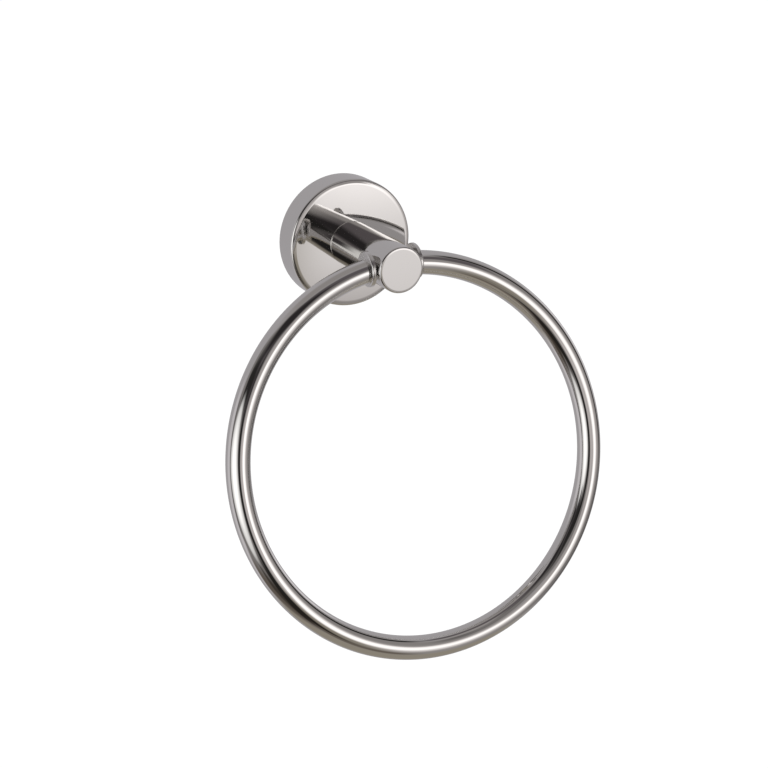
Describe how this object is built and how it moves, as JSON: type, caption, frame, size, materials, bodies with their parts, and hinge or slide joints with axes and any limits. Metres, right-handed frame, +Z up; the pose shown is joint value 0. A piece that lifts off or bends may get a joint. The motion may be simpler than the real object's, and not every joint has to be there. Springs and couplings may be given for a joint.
{
  "type": "towel ring",
  "caption": "Wall-mounted towel ring: round flange over a screwed wall bracket, a turned post and a round ring that swings between two collars.",
  "frame": {"origin": "centre of the round flange on the wall face", "axes": "+Y into the wall, so the front faces -Y; +Z up, with the ring hanging towards -Z; +X to the right as seen from the front"},
  "size_m": [0.1592, 0.0911, 0.1757],
  "materials": {
    "polished": "mirror polished",
    "bracket": "plain zinc plated",
    "fixings": "plain stainless",
    "bush": "natural nylon"
  },
  "bodies": {
    "holder": {"wall_bracket": "bracket", "flange_cover": "polished", "grub_screw": "fixings", "post": "polished", "post_washer": "fixings", "post_screw": "fixings", "left_bush": "bush", "right_bush": "bush"},
    "hanging_ring": {"ring": "polished", "left_collar": "polished", "right_collar": "polished"}
  },
  "joints": [
    {"name": "ring_swing", "type": "hinge", "parent": "holder", "child": "hanging_ring", "pos_m": [0, -0.0489, 0], "axis": [1, 0, 0], "range_deg": [-182, 31]}
  ]
}
